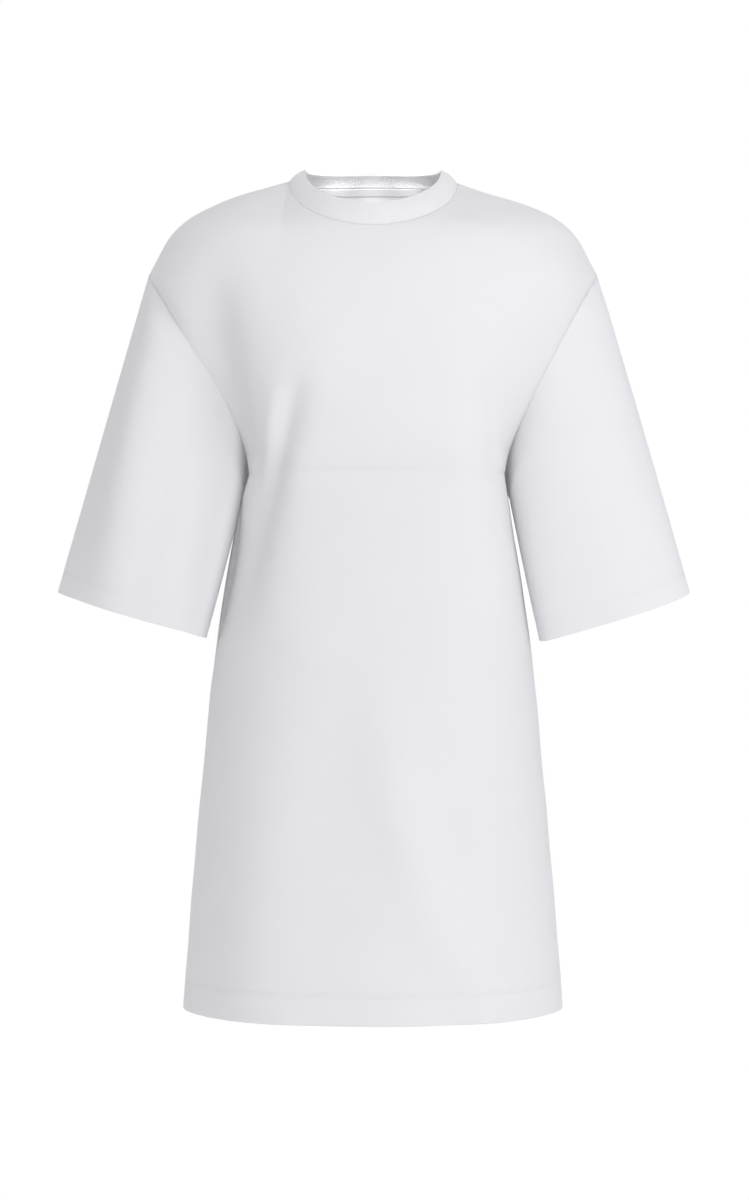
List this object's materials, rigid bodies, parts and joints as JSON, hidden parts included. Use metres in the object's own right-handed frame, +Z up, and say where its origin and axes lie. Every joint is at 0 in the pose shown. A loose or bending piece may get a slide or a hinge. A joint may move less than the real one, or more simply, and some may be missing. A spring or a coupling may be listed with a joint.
{
  "type": "t-shirt dress",
  "caption": "Loose T-shirt dress in heavy white jersey, filled out as worn, with a rib crew neck, dropped shoulders, wide elbow-length sleeves and a hem above the knee.",
  "frame": {"origin": "middle of the neck opening, level with the collar's free edge at the sides of the neck, where the wearer's neck and shoulders hold the dress", "axes": "+Z up; the front of the dress faces -Y; +X is the wearer's left"},
  "size_m": [0.649, 0.2893, 0.8649],
  "materials": {
    "jersey": "matt knitted cotton",
    "rib": "matt ribbed knit",
    "tape": "matt twill tape"
  },
  "bodies": {
    "root": {"front_panel": "jersey", "back_panel": "jersey", "left_sleeve": "jersey", "right_sleeve": "jersey", "rib_collar": "rib", "neck_tape": "tape"}
  },
  "joints": []
}
